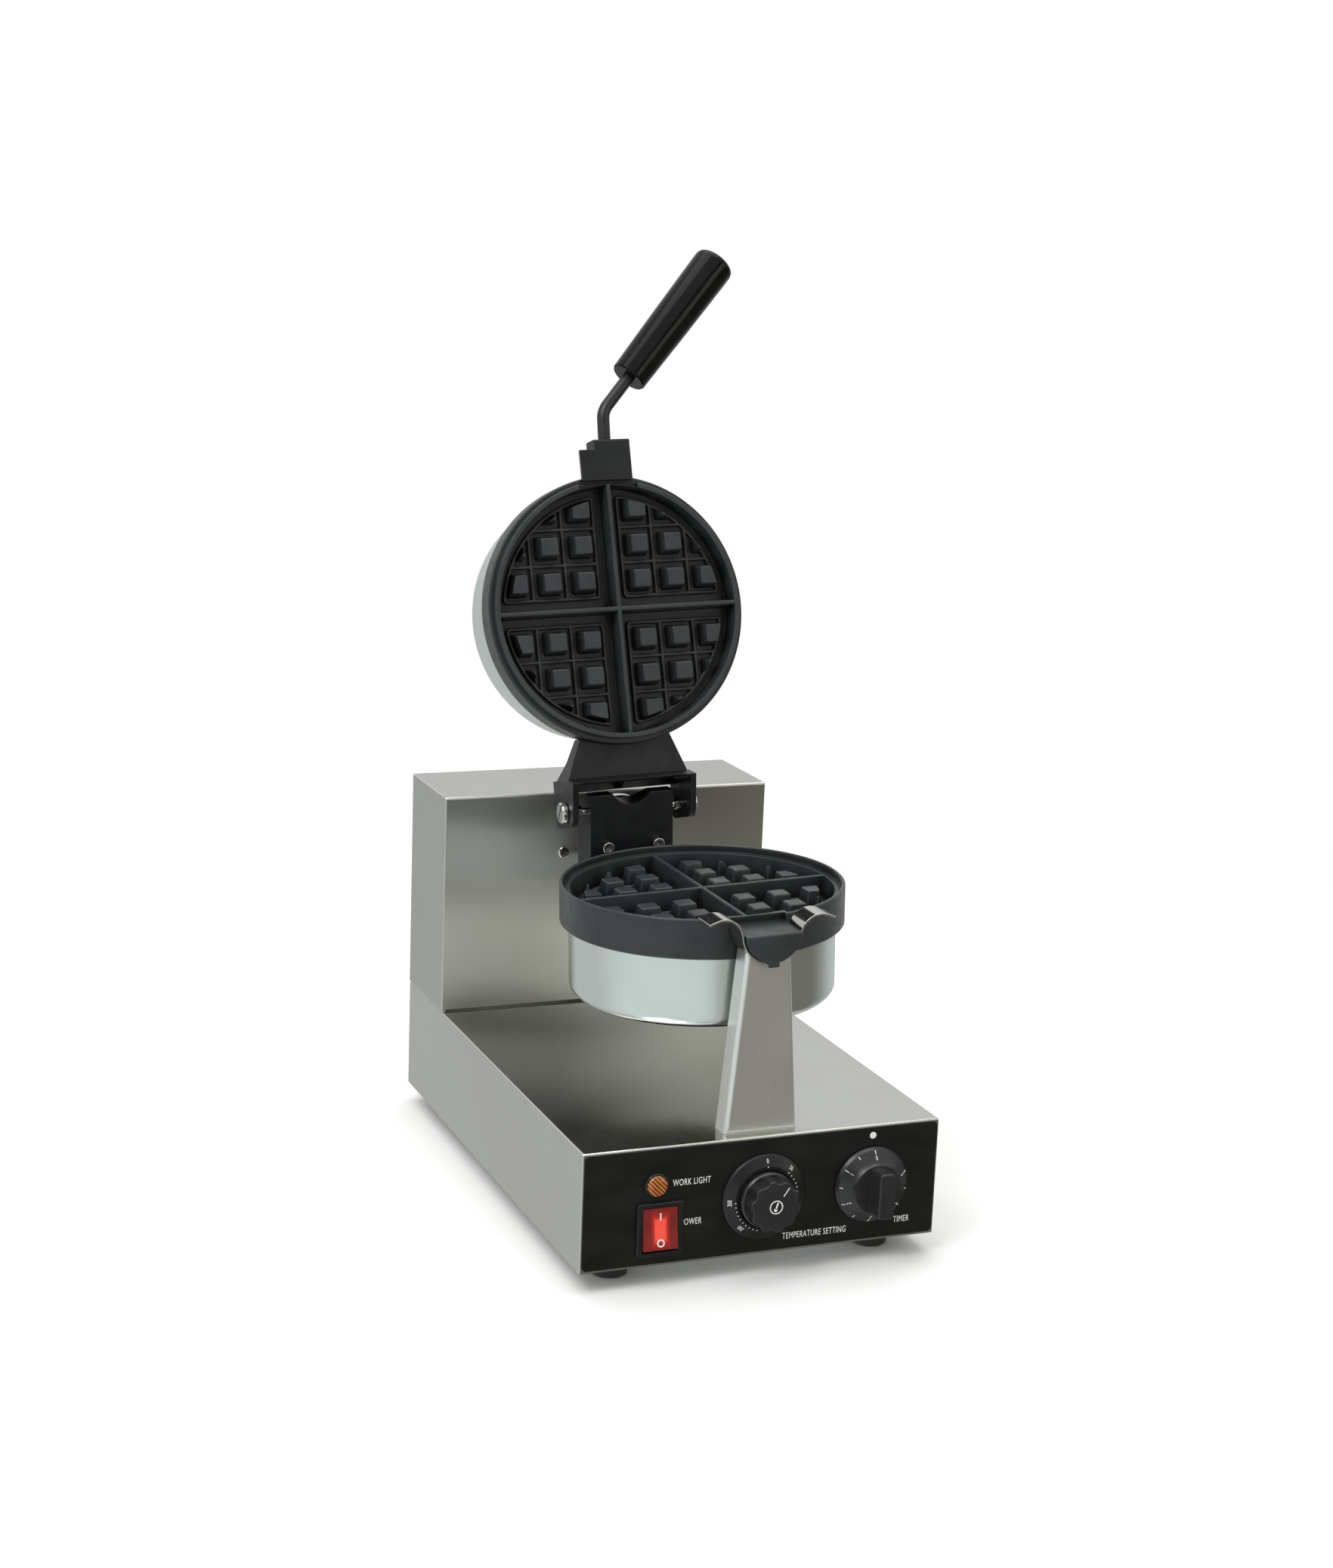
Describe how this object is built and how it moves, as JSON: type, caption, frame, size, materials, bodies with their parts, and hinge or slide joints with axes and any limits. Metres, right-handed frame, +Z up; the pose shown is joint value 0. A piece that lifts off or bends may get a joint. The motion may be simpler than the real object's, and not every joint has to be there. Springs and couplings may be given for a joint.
{
  "type": "rotary waffle maker",
  "caption": "Commercial rotary waffle maker: round hinged grid plates on a flip shaft, open lid with side handle, stainless base with controls and rear bearing housing.",
  "frame": {"origin": "on the table, under the middle of the whole object's bounding box", "axes": "+Z up; +Y from the control panel to the rear housing; +X to the right of someone facing the panel"},
  "size_m": [0.25, 0.425, 0.6429],
  "materials": {
    "stainless": "fine brushed, satin",
    "zinc_sheet": "zinc plated sheet",
    "panel_black": "matte black enamel with white print",
    "rubber": "matte",
    "bright_steel": "bright nickel plated",
    "cast_grey": "machined casting",
    "bronze": "turned bronze",
    "black_plastic": "fine texture",
    "knob_plastic": "satin",
    "amber_lens": "ribbed translucent lens",
    "red_lens": "translucent, lit from behind",
    "pale_plastic": "moulded",
    "nonstick_casting": "dark non-stick coating on cast aluminium",
    "satin_cover": "satin, fine blasted",
    "heater_tube": "heat-tinted tube",
    "black_casting": "baked black coating on a casting",
    "black_rod": "black enamel",
    "grip_plastic": "polished phenolic"
  },
  "bodies": {
    "base": {"base_shell": "stainless", "control_panel": "panel_black", "bottom_plate": "zinc_sheet", "foot_front_left": "rubber", "foot_front_right": "rubber", "foot_rear_left": "rubber", "foot_rear_right": "rubber", "foot_screws": "bright_steel", "rear_housing": "stainless", "rear_cover": "stainless", "rear_cover_screws": "bright_steel", "bearing_block": "cast_grey", "shaft_bush": "bronze", "bearing_screws": "bright_steel", "front_stand": "stainless", "saddle": "stainless", "stand_screws": "bright_steel", "lamp_bezel": "black_plastic", "lamp_lens": "amber_lens", "switch_housing": "black_plastic", "thermostat_bezel": "black_plastic", "thermostat_body": "zinc_sheet", "timer_body": "zinc_sheet", "cable_gland": "black_plastic", "terminal_block": "pale_plastic"},
    "rocker": {"power_rocker": "red_lens"},
    "thermostat": {"thermostat_knob": "knob_plastic", "thermostat_spindle": "bright_steel"},
    "timer": {"timer_knob": "knob_plastic", "timer_spindle": "bright_steel"},
    "iron": {"lower_grid_plate": "nonstick_casting", "lower_grid_pegs": "nonstick_casting", "lower_cover": "satin_cover", "lower_cover_post": "bright_steel", "lower_cover_screw": "bright_steel", "lower_heating_element": "heater_tube", "lower_hinge_bracket": "black_casting", "bracket_screws": "bright_steel", "pivot_screws": "bright_steel", "lock_nuts": "bright_steel", "flip_shaft": "bright_steel", "shaft_collar": "bright_steel"},
    "lid": {"upper_grid_plate": "nonstick_casting", "upper_grid_pegs": "nonstick_casting", "upper_cover": "satin_cover", "upper_cover_post": "bright_steel", "upper_cover_screw": "bright_steel", "upper_heating_element": "heater_tube", "upper_hinge_bracket": "black_casting", "handle_block": "black_casting", "handle_rod": "black_rod", "handle_grip": "grip_plastic"}
  },
  "joints": [
    {"name": "iron_flip", "type": "hinge", "parent": "base", "child": "iron", "pos_m": [0, -0.0649, 0.228], "axis": [0, 1, 0], "range_deg": [-35, 35]},
    {"name": "lid_hinge", "type": "hinge", "parent": "iron", "child": "lid", "pos_m": [-0.00077, 0.0765, 0.24999], "axis": [0.9994, 0, 0.0349], "range_deg": [0, 105.4]},
    {"name": "thermostat_turn", "type": "hinge", "parent": "base", "child": "thermostat", "pos_m": [0, -0.1865, 0.0535], "axis": [0, 1, 0], "range_deg": [-35, 235]},
    {"name": "timer_turn", "type": "hinge", "parent": "base", "child": "timer", "pos_m": [0.0765, -0.1865, 0.0536], "axis": [0, 1, 0], "range_deg": [0, 290]},
    {"name": "rocker_tip", "type": "hinge", "parent": "base", "child": "rocker", "pos_m": [-0.0717, -0.185, 0.0394], "axis": [1, 0, 0], "range_deg": [0, 14.9]}
  ]
}
